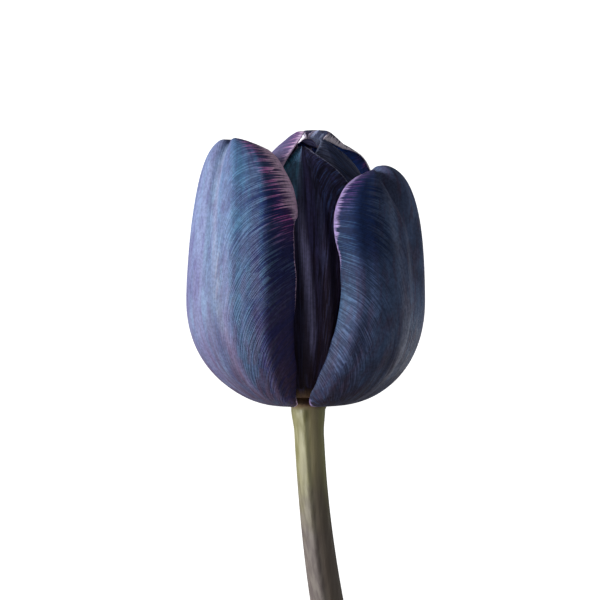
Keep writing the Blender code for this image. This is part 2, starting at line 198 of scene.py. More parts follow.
PETALS = (
    Petal(
        name="outer_petal_left",
        node="petal_outer_left",
        ribs=(0.10 * MM, 3.1, 0.2, 5.3, 0.6),
        waves=(0.16 * MM, 4.3, 0.1),
        lobe=(0.69, 1.4),
        azimuth=-50.0,
        dip=(7.4 * MM, -0.9 * MM),
        haunch=21.9 * MM,
        belly=(30.1 * MM, 26.0 * MM),
        flank=8.5 * MM,
        shoulder=(28.0 * MM, 63.4 * MM),
        crown=(23.2 * MM, 63.4 * MM),
        brow=(19.5 * MM, 63.4 * MM),
        tip=(17.5 * MM, 61.2 * MM),
        left_span=(54, 56, 57, 57, 56, 53, 47, 38, 4),
        right_span=(42, 41, 43.2, 43.2, 44.5, 43.5, 42.5, 32, 3),
        cup=0.155,
        roll=(0.035, 0.11),
        groove=(0.1 * MM, 1.4 * MM),
        droop=3.0 * MM,
        **OUTER,
    ),
    Petal(
        name="outer_petal_right",
        node="petal_outer_right",
        ribs=(0.10 * MM, 2.8, 0.5, 4.9, 0.1),
        waves=(0.14 * MM, 3.7, 0.45),
        lobe=(0.66, 0.3),
        azimuth=61.0,
        dip=(12.8 * MM, -0.7 * MM),
        haunch=20.6 * MM,
        belly=(29.6 * MM, 26.0 * MM),
        flank=16.0 * MM,
        shoulder=(27.8 * MM, 57.4 * MM),
        crown=(21.0 * MM, 57.4 * MM),
        brow=(19.0 * MM, 57.3 * MM),
        tip=(18.0 * MM, 56.2 * MM),
        left_span=(44, 56.5, 51.5, 45, 39.5, 40, 42.5, 34, 3),
        right_span=(52, 52, 52, 52, 52, 50, 46, 34, 3),
        cup=0.155,
        roll=(0.105, 0.035),
        groove=(0.1 * MM, 1.9 * MM),
        stray=-0.48,
        droop=2.6 * MM,
        **OUTER,
    ),
    Petal(
        name="outer_petal_back",
        node="petal_outer_back",
        ribs=(0.08 * MM, 3.3, 0.8, 5.9, 0.3),
        waves=(0.2 * MM, 5.1, 0.7),
        azimuth=180.0,
        dip=(10.0 * MM, -0.9 * MM),
        haunch=21.0 * MM,
        belly=(29.9 * MM, 26.0 * MM),
        flank=15.0 * MM,
        shoulder=(26.5 * MM, 59.0 * MM),
        crown=(10.5 * MM, 64.6 * MM),
        brow=(5.0 * MM, 68.4 * MM),
        tip=(2.0 * MM, 62.8 * MM),
        left_span=(56, 56, 56, 56, 55, 55, 57, 68, 64),
        right_span=(56, 58, 59, 59, 58, 55, 50, 44, 34),
        cup=0.1,
        roll=(0.035, 0.035),
        hem=(2.4 * MM, 2.0 * MM),
        groove=(0.4 * MM, 0.0),
        droop=0.6 * MM,
        lean=2.2 * MM,
        **OUTER,
    ),
    Petal(
        name="inner_petal_front",
        node="petal_inner_front",
        ribs=(0.12 * MM, 4.3, 0.2, 7.1, 0.4),
        waves=(0.06 * MM, 6.1, 0.2),
        azimuth=0.0,
        crown=(7.4 * MM, 61.4 * MM),
        brow=(6.6 * MM, 61.9 * MM),
        tip=(5.7 * MM, 62.2 * MM),
        left_span=(52, 58, 62, 64, 62, 60, 56, 44, 8),
        right_span=(52, 58, 62, 64, 60, 56, 50, 41, 10),
        groove=(-0.25 * MM, -0.35 * MM),
        twist=1.65 * MM,
        lean=-0.8 * MM,
        **INNER,
    ),
    Petal(
        name="inner_petal_right",
        node="petal_inner_right",
        ribs=(0.06 * MM, 3.7, 0.9, 6.1, 0.2),
        waves=(0.06 * MM, 5.3, 0.6),
        azimuth=120.0,
        swing=-66.0,
        crown=(6.5 * MM, 62.5 * MM),
        brow=(5.5 * MM, 63.5 * MM),
        tip=(4.6 * MM, 64.2 * MM),
        left_span=(52, 58, 62, 64, 66, 65, 62, 66, 14),
        right_span=(52, 54, 54, 54, 54, 56, 56, 31, 4),
        roll=(0.0, 0.14),
        groove=(0.0, 0.0),
        twist=1.7 * MM,
        lean=0.9 * MM,
        **INNER,
    ),
    Petal(
        name="inner_petal_left",
        node="petal_inner_left",
        ribs=(0.06 * MM, 3.5, 0.4, 5.7, 0.7),
        waves=(0.06 * MM, 5.7, 0.3),
        azimuth=-120.0,
        crown=(5.0 * MM, 64.0 * MM),
        brow=(3.8 * MM, 65.3 * MM),
        tip=(2.4 * MM, 66.2 * MM),
        left_span=(52, 58, 62, 64, 62, 60, 58, 48, 8),
        right_span=(52, 58, 62, 66, 71, 79, 88, 95, 108),
        groove=(0.0, 0.0),
        twist=1.7 * MM,
        lean=0.4 * MM,
        **INNER,
    ),
)


@dataclass
class Fold:
    """A tip that folds over beside the opening. Spine points are (sideways, up, above the axis)."""

    name: str
    node: str
    spine: tuple
    width: float
    blunt: float  # 0 for a pointed start, 1 for a start that is as wide as the middle
    crown: float  # how far the sides sink below the spine, as a share of the width
    turn: float  # how far the sheet is turned about its spine, in degrees


FOLDS = (
    Fold(
        name="outer_petal_back_tip",
        node="petal_outer_back",
        spine=(
            (4.6 * MM, 66.6 * MM, -4.0 * MM),
            (3.4 * MM, 65.2 * MM, -0.8 * MM),
            (0.6 * MM, 62.9 * MM, 0.4 * MM),
        ),
        width=2.3 * MM,
        blunt=1.0,
        crown=0.35,
        turn=-12.0,
    ),
    Fold(
        name="inner_petal_left_tip",
        node="petal_inner_left",
        spine=(
            (3.0 * MM, 62.4 * MM, 0.9 * MM),
            (1.2 * MM, 63.3 * MM, 2.2 * MM),
            (-0.9 * MM, 63.9 * MM, 2.0 * MM),
        ),
        width=1.1 * MM,
        blunt=0.0,
        crown=0.8,
        turn=14.0,
    ),
)


def bezier(points, t):
    """Points of a cubic curve at the values t."""
    p = np.array(points, float)
    t = np.asarray(t)[:, None]
    s = 1 - t
    return s**3 * p[0] + 3 * s**2 * t * p[1] + 3 * s * t**2 * p[2] + t**3 * p[3]


def through(values, v):
    """A smooth curve through values that stand at even stations from v = 0 to v = 1."""
    k = np.array(values, float)
    x = np.clip(v, 0, 1) * (len(k) - 1)
    i = np.minimum(x.astype(int), len(k) - 2)
    f = x - i
    before, after = k[np.maximum(i - 1, 0)], k[np.minimum(i + 2, len(k) - 1)]
    here, there = k[i], k[i + 1]
    bend = 2 * before - 5 * here + 4 * there - after
    turn = 3 * (here - there) + after - before
    return here + 0.5 * f * (there - before + f * (bend + f * turn))


def rail(petal, v):
    """Radius and height of the midrib at even lengths, v = 0 at the seat and 1 at the tip."""
    belly, crown = np.array(petal.belly), np.array(petal.crown)
    t = np.linspace(0, 1, 60)
    curve = np.concatenate(
        [
            bezier([petal.seat, petal.dip, belly - (0, petal.haunch), belly], t),
            bezier([belly, belly + (0, petal.flank), petal.shoulder, crown], t)[1:],
            bezier([crown, petal.brow, petal.brow, petal.tip], t)[1:],
        ]
    )
    length = np.concatenate([[0], np.cumsum(np.linalg.norm(np.diff(curve, axis=0), axis=1))])
    at = v * length[-1]
    return np.interp(at, length, curve[:, 0]), np.interp(at, length, curve[:, 1])


def smooth(low, high, x):
    """0 below low, 1 above high, and a soft step between them."""
    t = np.clip((x - low) / (high - low), 0, 1)
    return t * t * (3 - 2 * t)


def petal_angles(petal, u, v, radius):
    """Where round the bloom each point is, in radians, with the waves and the lobe of the margins."""
    left, right = through(petal.left_span, v), through(petal.right_span, v)
    taper = 1 - BASE_TAPER * (1 - smooth(0, BASE_HEIGHT, v))
    left, right = left * taper, right * taper
    turned = petal.azimuth + petal.swing * smooth(0.5, 1, v)
    angle = np.radians(turned + u * (left + right) / 2 + u * u * (right - left) / 2)
    side = np.sign(u)
    wave, waves, start = petal.waves
    lower, more = FINE_WAVES
    ripple = wave * np.sin(2 * np.pi * (waves * v + start))
    ripple += lower * wave * np.sin(2 * np.pi * (more * waves * v + start))
    ripple *= smooth(0.1, 0.2, v) * (1 - smooth(0.85, 0.95, v))
    angle = angle + side * ripple / radius * np.abs(u) ** WAVE_POWER
    lobe, jut = petal.lobe
    inner_side = np.where(side == np.sign(petal.roll[1] - petal.roll[0]), side, 0)
    jut = np.radians(jut) * inner_side * np.abs(u) ** LOBE_POWER
    swollen = smooth(lobe + LOBE_START[0], lobe + LOBE_START[1], v)
    return angle + jut * swollen * (1 - smooth(lobe + LOBE_END[0], lobe + LOBE_END[1], v))


def petal_ribs(petal, u, v):
    """How far a petal's shallow ribs stand out. They fade towards its base and its tip."""
    rib_height, turns, phase, fine_turns, fine_phase = petal.ribs
    ribs = np.sin(2 * np.pi * (turns * u + phase))
    ribs += FINE_RIBS * np.sin(2 * np.pi * (fine_turns * u + fine_phase))
    return rib_height * ribs * smooth(0.04, 0.2, v) * (1 - smooth(0.75, 1, v))


def petal_surface(petal, u, v):
    """Points of a petal's outside, upright. u goes from -1 at its left margin to 1 at its right one.

    v goes from 0 at its base to 1 at its tip. Each smooth step says over which v a form comes in.
    """
    radius, height = rail(petal, v)
    angle = petal_angles(petal, u, v, radius)
    edge = np.abs(u) ** ROLL_POWER
    roll = np.where(u < 0, *petal.roll) * (1 - ROLL_FADE * smooth(HEM_FROM, 1, v)) * edge
    hem = np.where(u < 0, *petal.hem) * smooth(HEM_FROM, 0.95, v) * edge
    depth = petal.groove[0] + (petal.groove[1] - petal.groove[0]) * smooth(0.3, 0.9, v)
    off = u - petal.stray * smooth(0.7, 1, v)
    furrow = depth * np.exp(-((off / FURROW_WIDTH) ** 2)) * smooth(0.02, 0.2, v)
    sunk = radius * (petal.cup * u**2 + roll) * smooth(0, 0.2, v)
    twist = petal.twist * u * smooth(0, 0.25, v) * (1 - 0.8 * smooth(0.92, 1, v))
    radius = radius - sunk - furrow - HEM_IN * hem + twist + petal_ribs(petal, u, v)
    height = height - petal.droop * u**2 * smooth(0.6, 1, v) - furrow * smooth(0.6, 0.9, v) - hem
    x = radius * np.sin(angle) + petal.lean * smooth(0.5, 1, v)
    return x, -radius * np.cos(angle), height


def lay_down(x, y, z):
    """Upright points, turned and moved to where the flower lies, and none below the floor."""
    return np.stack([x, BLOOM_Y + z, AXIS_HEIGHT - np.minimum(y, AXIS_HEIGHT)], axis=-1)


def vein_field(place, u, v, fan_share):
    """For each grid point: the vein it is on, how far up the vein, and how finely veins are drawn there."""
    middle = u.shape[1] // 2
    across = np.linalg.norm(np.diff(place, axis=1), axis=2)
    length = np.linalg.norm(np.diff(place[:, middle], axis=0), axis=1).sum()
    fan = fan_share * through(VEIN_FAN, v[:, 0])
    spread = []
    for part in (across[:, :middle], across[:, middle:]):
        slope = fan * length / part.sum(axis=1)
        steps = (slope[1:] + slope[:-1]) / 2 * np.diff(v[:, 0])
        spread.append(np.concatenate([[0], np.cumsum(steps)])[:, None])
    reach = VEIN_CURL * np.abs(u) ** VEIN_CURL * np.where(u < 0, spread[0], spread[1])
    vein = u / (1 + reach) ** (1 / VEIN_CURL)
    along_u = np.gradient(place, u[0], axis=1)
    along_v = np.gradient(place, v[:, 0], axis=0)
    uu = (along_u * along_u).sum(axis=2)
    uv = (along_u * along_v).sum(axis=2)
    vv = (along_v * along_v).sum(axis=2)
    vein_u = np.gradient(vein, u[0], axis=1)
    vein_v = np.gradient(vein, v[:, 0], axis=0)
    area = np.maximum(uu * vv - uv**2, LEAST_AREA)
    steepness = (vv * vein_u**2 - 2 * uv * vein_u * vein_v + uu * vein_v**2) / area
    octave = -np.log2(VEIN_CELL * np.sqrt(np.maximum(steepness, LEAST_STEEPNESS)))
    up = (length * v + VEIN_RISE * u**2) / VEIN_REACH
    return vein, up, octave


def rim_distance(place):
    """Distance from each grid point to the nearer margin along its row, in millimetres."""
    across = np.linalg.norm(np.diff(place, axis=1), axis=2)
    walked = np.concatenate([np.zeros((len(across), 1)), np.cumsum(across, axis=1)], axis=1)
    return np.minimum(walked, walked[:, -1:] - walked) / MM


def start_fresh():
    """Nothing stays selected, so that an operator works on the new piece alone."""
    if bpy.context.mode != "OBJECT":
        bpy.ops.object.mode_set(mode="OBJECT")
    bpy.ops.object.select_all(action="DESELECT")


def pick(obj):
    """The object alone is selected."""
    start_fresh()
    obj.select_set(True)
    bpy.context.view_layer.objects.active = obj


def name_and_settle(name):
    """The piece just made gets its name, and its place goes into its mesh."""
    obj = bpy.context.active_object
    obj.name = name
    obj.data.name = name
    pick(obj)
    bpy.ops.object.transform_apply(location=True, rotation=True, scale=True)
    return obj


def thicken(obj, thickness, wall=""):
    """A sheet gets its thickness inwards. The vertex group named wall holds each vertex's share of it."""
    shell = obj.modifiers.new("thickness", "SOLIDIFY")
    shell.thickness = thickness
    shell.offset = -1
    shell.vertex_group = wall
    pick(obj)
    bpy.ops.object.modifier_apply(modifier=shell.name)
    obj.vertex_groups.clear()


def read_points(mesh):
    """The vertices' places, one row each."""
    flat = np.empty(len(mesh.vertices) * 3)
    mesh.vertices.foreach_get("co", flat)
    return flat.reshape(-1, 3)


def write_uv(mesh, name, values):
    """A UV map from two values at each vertex."""
    layer = mesh.uv_layers.new(name=name)
    corner = np.empty(len(mesh.loops), np.int32)
    mesh.loops.foreach_get("vertex_index", corner)
    layer.data.foreach_set("uv", values[corner].astype(np.float32).ravel())


def write_value(mesh, name, values):
    """A number at each vertex."""
    layer = mesh.attributes.new(name=name, type="FLOAT", domain="POINT")
    layer.data.foreach_set("value", values.astype(np.float32))


def new_grid(name, columns, rows):
    """A flat grid, and its vertices' numbers in the order base to tip, left to right."""
    start_fresh()
    bpy.ops.mesh.primitive_grid_add(
        x_subdivisions=columns, y_subdivisions=rows, size=2 * MM, location=(0, BLOOM_Y, AXIS_HEIGHT)
    )
    obj = name_and_settle(name)
    flat = read_points(obj.data)
    return obj, np.lexsort((flat[:, 0], np.round(flat[:, 1] / (MM / rows))))


def shape_grid(mesh, order, place, u, v, fan_share):
    """The grid takes its shape, and the maps and values that a petal's skin reads."""
    shaped = np.empty((u.size, 3))
    shaped[order] = place.reshape(-1, 3)
    mesh.vertices.foreach_set("co", shaped.ravel())
    vein, up, octave = vein_field(place, u, v, fan_share)
    for name, first, second in (("veins", vein, up), ("petal", u / 2 + 0.5, v)):
        pair = np.empty((u.size, 2))
        pair[order] = np.stack([first.ravel(), second.ravel()], axis=1)
        write_uv(mesh, name, pair)
    for name, values in (("vein_octave", octave), ("rim", rim_distance(place))):
        column = np.empty(u.size)
        column[order] = values.ravel()
        write_value(mesh, name, column)
    mesh.update()


def join_frame(obj, coat, node, sharpest=None):
    """The piece gets its material and its shading, and takes its solid's place in the frame."""
    obj.data.materials.clear()
    obj.data.materials.append(coat)
    pick(obj)
    if sharpest is None:
        bpy.ops.object.shade_smooth()
    else:
        bpy.ops.object.shade_smooth_by_angle(angle=sharpest)
    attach(obj, "root")
    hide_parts(node)


def make_petal(petal, coat):
    """A fine grid shaped as the petal's outside, then thickened inwards, thinly at its margins."""
    obj, order = new_grid(petal.name, PETAL_COLUMNS, PETAL_ROWS)
    t = np.linspace(-1, 1, PETAL_COLUMNS + 1)
    s = np.linspace(0, 1, PETAL_ROWS + 1)
    # The columns stand closer together near the midrib, and the rows near the tip
    u, v = np.meshgrid(t * (0.75 + 0.25 * np.abs(t)), s * (1.2 - 0.2 * s))
    place = lay_down(*(k.reshape(u.shape) for k in petal_surface(petal, u.ravel(), v.ravel())))
    shape_grid(obj.data, order, place, u, v, 1.0 if "outer" in petal.name else INNER_FAN)
    wall = obj.vertex_groups.new(name="wall")
    share = 1 - (1 - MARGIN_SHARE) * smooth(0.55, 1, np.abs(u)) - TIP_THINNER * smooth(0.5, 1, v)
    for vertex, amount in zip(order, share.ravel()):
        wall.add([int(vertex)], float(amount), "REPLACE")
    thicken(obj, petal.thickness, "wall")
    write_value(obj.data, "inside", (np.arange(len(obj.data.vertices)) >= u.size) * 1.0)
    join_frame(obj, coat, petal.node)


def fold_surface(fold, u, v):
    """Points of the outside of a folded tip, u across it and v along its spine."""
    first, second, third = (np.array(k) for k in fold.spine)
    t = v[..., None]
    spine = (1 - t) ** 2 * first + 2 * (1 - t) * t * second + t**2 * third
    along = 2 * (1 - t) * (second - first) + 2 * t * (third - second)
    along = along / np.linalg.norm(along, axis=-1, keepdims=True)
    across = np.cross(along, (0, 0, 1))
    across = across / np.linalg.norm(across, axis=-1, keepdims=True)
    out = np.cross(across, along)
    turn = math.radians(fold.turn)
    tilted = across * math.cos(turn) + out * math.sin(turn)
    out = out * math.cos(turn) - across * math.sin(turn)
    start = fold.blunt + (1 - fold.blunt) * np.sqrt(smooth(0, 0.5, v))
    end = FOLD_END + (1 - FOLD_END) * np.sqrt(1 - smooth(0.45, 1, v))
    width = (fold.width * start * end)[..., None]
    side = u[..., None]
    crinkle, across_it, along_it = FOLD_CRINKLE
    sunk = fold.crown * width * side**2 + crinkle * width * np.sin(across_it * side + along_it * t)
    return spine + tilted * width * side - out * sunk


def make_fold(fold, coat):
    """A small curved grid, then thickened: the tip of a petal where it folds over."""
    obj, order = new_grid(fold.name, FOLD_COLUMNS, FOLD_ROWS)
    u, v = np.meshgrid(np.linspace(-1, 1, FOLD_COLUMNS + 1), np.linspace(0, 1, FOLD_ROWS + 1))
    place = fold_surface(fold, u, v) + (0, BLOOM_Y, AXIS_HEIGHT)
    shape_grid(obj.data, order, place, u, v, 1.0)
    thicken(obj, FOLD_THICKNESS)
    write_value(obj.data, "inside", np.zeros(len(obj.data.vertices)))
    join_frame(obj, coat, fold.node)


def stem_centre(s):
    """Sideways place and depth of the stem's centre, s below the bloom."""
    start, slope, bend = STEM_DRIFT
    curved = np.minimum(s, STEM_STRAIGHT_FROM)
    end_slope = slope + 2 * bend * STEM_STRAIGHT_FROM
    x = start + slope * curved + bend * curved**2 + end_slope * (s - curved)
    drop = AXIS_HEIGHT - STEM_END_RADIUS
    t = s / STEM_LENGTH
    a, b = (k * STEM_LENGTH for k in STEM_SLOPES)
    y = t * a + t**2 * (3 * drop - 2 * a - b) + t**3 * (a + b - 2 * drop)
    return x, y


def stem_radius(s):
    """A narrow neck that widens a little to the bloom above and slowly to the cut below."""
    neck = STEM_NECK_RADIUS + (STEM_END_RADIUS - STEM_NECK_RADIUS) * smooth(12 * MM, 70 * MM, s)
    return neck + (STEM_TOP_RADIUS - STEM_NECK_RADIUS) * (1 - smooth(0, 6 * MM, s))


def stem_shape(turn, share):
    """Points of the stem's surface, by turn round it and share of the way from cut to seat."""
    below = np.clip(share / SEAT_FROM, 0, 1)
    s = STEM_LENGTH * (1 - below) ** STEM_CROWDING
    x, y = stem_centre(s)
    r = stem_radius(s)
    ridge = turn - STEM_RIDGE - STEM_RIDGE_DRIFT * s / STEM_LENGTH
    facets = sum(high * np.cos(count * ridge) for count, high in STEM_FACETS)
    ribs, rib_height = STEM_FINE_RIBS
    far, often = STEM_RIBS_SWAY
    fine = rib_height * np.cos(ribs * turn + far * np.sin(often * s)) * smooth(0.0, 10 * MM, s)
    fading = 1 - STEM_FACETS_FADE * smooth(20 * MM, 100 * MM, s)
    r = r * (1 - STEM_SLIMMER + facets * fading + fine)
    z = -s - CUT_SLANT * np.cos(turn) * r * (1 - smooth(0, 0.03, share))
    rise = np.clip((share - SEAT_FROM) / (1 - SEAT_FROM), 0, 1)
    stops, heights, radii = zip(*SEAT_PROFILE)
    on_seat = share > SEAT_FROM
    x = np.where(on_seat, x * (1 - rise), x)
    y = np.where(on_seat, 0, y)
    r = np.where(on_seat, np.interp(rise, stops, radii), r)
    z = np.where(on_seat, np.interp(rise, stops, heights), z)
    return x + r * np.cos(turn), y + r * np.sin(turn), z


def make_stem(coat):
    """A tube cut into rings and bent along the stem, with a slanting cut, a seat and closed ends."""
    start_fresh()
    bpy.ops.mesh.primitive_cylinder_add(
        vertices=STEM_SIDES,
        radius=STEM_END_RADIUS,
        depth=STEM_LENGTH,
        end_fill_type="NOTHING",
        location=(0, BLOOM_Y - STEM_LENGTH / 2, AXIS_HEIGHT),
        rotation=(math.radians(-90), 0, 0),
    )
    obj = name_and_settle("flower_stem")
    mesh = obj.data
    bpy.ops.object.mode_set(mode="EDIT")
    bpy.ops.mesh.select_mode(type="EDGE")
    bpy.ops.mesh.select_all(action="DESELECT")
    bpy.ops.object.mode_set(mode="OBJECT")
    for edge in mesh.edges:
        low, high = (mesh.vertices[k].co.y for k in edge.vertices)
        edge.select = abs(low - high) > STEM_LENGTH / 2
    bpy.ops.object.mode_set(mode="EDIT")
    bpy.ops.mesh.subdivide(number_cuts=STEM_RINGS - 1)
    bpy.ops.object.mode_set(mode="OBJECT")
    flat = read_points(mesh)
    turn = np.arctan2(AXIS_HEIGHT - flat[:, 2], flat[:, 0])
    share = np.clip((flat[:, 1] - BLOOM_Y) / STEM_LENGTH + 1, 0, 1)
    mesh.vertices.foreach_set("co", lay_down(*stem_shape(turn, share)).ravel())
    mesh.update()
    close_stem(obj)
    join_frame(obj, coat, "stem", STEM_SHARPEST)


def close_stem(obj):
    """Both ends get a face, and the cut one steps inwards ring by ring, as a fresh cut dries."""
    pick(obj)
    bpy.ops.object.mode_set(mode="EDIT")
    bpy.ops.mesh.select_mode(type="VERT")
    bpy.ops.mesh.select_all(action="DESELECT")
    bpy.ops.mesh.select_non_manifold()
    bpy.ops.mesh.edge_face_add()
    bpy.ops.mesh.select_mode(type="FACE")
    bpy.ops.mesh.select_all(action="DESELECT")
    bpy.ops.object.mode_set(mode="OBJECT")
    for face in obj.data.polygons:
        face.select = len(face.vertices) > 4 and face.center.y < 0
    bpy.ops.object.mode_set(mode="EDIT")
    for width, depth in CUT_RINGS:
        bpy.ops.mesh.inset(thickness=width, depth=depth)
    bpy.ops.mesh.select_all(action="SELECT")
    bpy.ops.mesh.normals_make_consistent(inside=False)
    bpy.ops.object.mode_set(mode="OBJECT")


def linear(red, green, blue):
    """A colour as it is mixed, from the 0 to 255 of a paint chart."""
    mixed = []
    for k in (red / 255, green / 255, blue / 255):
        mixed.append(k / 12.92 if k <= 0.04045 else ((k + 0.055) / 1.055) ** 2.4)
    return (*mixed, 1)


def put(tree, kind, inputs=None, **settings):
    """A new node with its settings. Inputs are values, or outputs that are joined to them."""
    node = tree.nodes.new(kind)
    for name, value in settings.items():
        setattr(node, name, value)
    fill(tree, node, inputs or {})
    return node


def fill(tree, node, inputs):
    """Each input of the node gets its value, or is joined to an output."""
    for name, value in inputs.items():
        if isinstance(value, bpy.types.NodeSocket):
            tree.links.new(value, node.inputs[name])
        else:
            node.inputs[name].default_value = value


def maths(tree, operation, *values):
    """The values, or outputs, put through one operation."""
    return put(tree, "ShaderNodeMath", dict(enumerate(values)), operation=operation).outputs[0]


def product(tree, *values):
    """All the values multiplied."""
    result = values[0]
    for value in values[1:]:
        result = maths(tree, "MULTIPLY", result, value)
    return result


def step(tree, value, low, high, bottom=0.0, top=1.0):
    """A soft step from bottom to top as the value goes from low to high."""
    inputs = {"Value": value, "From Min": low, "From Max": high, "To Min": bottom, "To Max": top}
    return put(tree, "ShaderNodeMapRange", inputs, interpolation_type="SMOOTHSTEP").outputs["Result"]


def blend(tree, share, first, second, how="MIX"):
    """Two colours mixed."""
    inputs = {0: share, 6: first, 7: second}
    return put(tree, "ShaderNodeMix", inputs, data_type="RGBA", blend_type=how).outputs[2]


def between(tree, share, first, second):
    """Two numbers mixed."""
    return put(tree, "ShaderNodeMix", {0: share, 2: first, 3: second}, data_type="FLOAT").outputs[0]


def noise(tree, place, scale, detail):
    """Soft random spots. They are finer with a larger scale."""
    inputs = {"Vector": place, "Scale": scale, "Detail": detail}
    return put(tree, "ShaderNodeTexNoise", inputs).outputs[0]


def axes_of(tree, vector):
    """The X, Y and Z of a vector."""
    return put(tree, "ShaderNodeSeparateXYZ", {0: vector}).outputs


def add_relief(tree, shader, height, depth):
    """The surface stands out by the height, up to about the depth."""
    relief = put(tree, "ShaderNodeBump", {"Height": height, "Distance": depth, "Strength": 1.0})
    tree.links.new(relief.outputs[0], shader.inputs["Normal"])


def new_group(name, inputs, outputs):
    """A shader node group with named inputs, each a number, a colour or a place, and named outputs."""
    tree = bpy.data.node_groups.new(name, "ShaderNodeTree")
    kinds = {4: "NodeSocketColor", 3: "NodeSocketVector"}
    for label, default in inputs.items():
        kind = kinds[len(default)] if isinstance(default, tuple) else "NodeSocketFloat"
        tree.interface.new_socket(label, in_out="INPUT", socket_type=kind).default_value = default
    for label, kind in outputs.items():
        tree.interface.new_socket(label, in_out="OUTPUT", socket_type=kind)
    return tree, tree.nodes.new("NodeGroupInput").outputs, tree.nodes.new("NodeGroupOutput").inputs


def vein_group():
    """Lines along the veins, equally dense everywhere: fine ones, broad streaks, and bright threads."""
    inputs = {"Vein": 0.0, "Along": 0.0, "Octave": 6.0, "Seed": 0.0}
    outputs = {label: "NodeSocketFloat" for label in ("Fine", "Streaks", "Threads")}
    tree, given, result = new_group("petal veins", inputs, outputs)
    for label, coarser, stretch, offset in (("Fine", 0.0, 1.0, 0.0), ("Streaks", -1.7, 0.55, 7.3)):
        octave = maths(tree, "ADD", given["Octave"], coarser)
        scale = maths(tree, "POWER", 2.0, maths(tree, "FLOOR", octave))
        drawn = []
        for times in (1.0, 2.0):
            across = product(tree, given["Vein"], scale, times)
            along = product(tree, given["Along"], stretch)
            seed = maths(tree, "ADD", given["Seed"], offset + 3.1 * times)
            place = put(tree, "ShaderNodeCombineXYZ", {"X": across, "Y": along, "Z": seed}).outputs[0]
            drawn.append(noise(tree, place, scale=1.0, detail=1.0))
        mixed = between(tree, maths(tree, "FRACT", octave), *drawn)
        tree.links.new(step(tree, mixed, 0.37, 0.63), result[label])
        if label == "Fine":
            tree.links.new(step(tree, mixed, 0.5, 0.36), result["Threads"])
    return tree


def layer(name, colour, **settings):
    """The inputs of one layer of a petal's skin: its colour under its name, and its settings."""
    return {name: colour, **{f"{name} {key.replace('_', ' ')}": value for key, value in settings.items()}}


# What a petal's skin reads, with the values that hold where a look says nothing. Across the petal a layer
# comes in from start to end, -1 being the left margin and 1 the right one. Up the petal it shows above low
# or bottom and below high or top, 0 being the base and 1 the tip.
SKIN_INPUTS = {
    "Vein": (0.0, 0.0, 0.0),
    "Place": (0.0, 0.0, 0.0),
    "Octave": 6.0,
    "Rim": 10.0,
    "Inside": 0.0,
    "Object": (0.0, 0.0, 0.0),
    "Seed": 0.0,
    "Grain": 0.1,
    "Field": (0.1, 0.1, 0.2, 1.0),
    # The next layer is a paler colour that paints the key light's sheen on the side of a petal that faces
    # it
    **layer("Wax", (0.3, 0.33, 0.5, 1.0), start=0.0, end=-0.5, low=-0.4, share=0.0),
    **layer("Cloud", (0.08, 0.12, 0.2, 1.0), share=0.4),
    **layer("Band", (0.3, 0.3, 0.4, 1.0), share=0.25),
    **layer("Mottle", (0.12, 0.06, 0.1, 1.0), share=0.2),
    # The next layer is a dark navy that paints shade where a petal turns away from the key light
    **layer("Deep", (0.02, 0.03, 0.07, 1.0), start=0.6, end=0.9, low=-0.2, high=2.0, share=0.0),
    "Lining": (0.02, 0.03, 0.07, 1.0),
    **layer("Lines", (0.02, 0.02, 0.05, 1.0), start=-3.0, end=-2.0, low=0.1, streaks=0.22, share=0.9),
    **layer("Threads", (0.2, 0.3, 0.5, 1.0), start=-3.0, end=-2.0, low=0.3, high=0.95, share=0.0),
    # The next layer is the midrib's own colour on some petals and a painted highlight along the ridge on
    # others
    **layer("Midrib", (0.2, 0.15, 0.2, 1.0), width=0.07, bottom=-1.0, top=1.5, share=0.25),
    "Midrib low across": 0.0,
    "Midrib high across": 0.0,
    # The crease beside the midrib is painted shade
    "Crease shade share": 0.0,
    # The next layer darkens a petal towards its base: its own colour there, and on some petals painted
    # shade
    **layer("Foot", (0.16, 0.13, 0.2, 1.0), high=0.25, share=0.5),
    **layer("Claw", (0.2, 0.17, 0.13, 1.0), share=0.0),
    **layer("Blush", (0.3, 0.06, 0.25, 1.0), reach=5.0, low=0.5, share=0.0),
    # The next layer is the margin's own pale colour, brightened into a painted highlight where the rolled
    # margin faces the light
    **layer("Lip", (0.25, 0.17, 0.3, 1.0), narrow=0.4, wide=2.0, widens=0.68, low=0.0, share=0.8),
}


@dataclass
class Skin:
    """A petal's skin in the making: its node tree, its inputs, and what its layers read."""

    tree: bpy.types.NodeTree
    given: bpy.types.bpy_prop_collection
    across: bpy.types.NodeSocket
    up: bpy.types.NodeSocket
    wander: bpy.types.NodeSocket  # a slow drift from place to place
    strayed: bpy.types.NodeSocket  # across, with that drift
    fine: bpy.types.NodeSocket
    streaks: bpy.types.NodeSocket
    threads: bpy.types.NodeSocket

    def cover(self, colour, name, *amounts):
        """The layer of that name over the colour, by its share and the amounts."""
        share = product(self.tree, *amounts, self.given[f"{name} share"])
        return blend(self.tree, share, colour, self.given[name])

    def shown_across(self, name, least=0.0):
        """Where across the petal a layer shows."""
        start, end = self.given[f"{name} start"], self.given[f"{name} end"]
        return step(self.tree, self.strayed, start, end, least, 1.0)

    def shown_above(self, name, rise, least=0.0):
        """A step up the petal that begins at an input and is whole at the rise above it."""
        low = self.given[name]
        return step(self.tree, self.up, low, maths(self.tree, "ADD", low, rise), least, 1.0)

    def shown_below(self, name, fall, least):
        """A step down the petal that begins at an input and is whole at the fall below it."""
        high = self.given[name]
        return step(self.tree, self.up, maths(self.tree, "SUBTRACT", high, fall), high, 1.0, least)


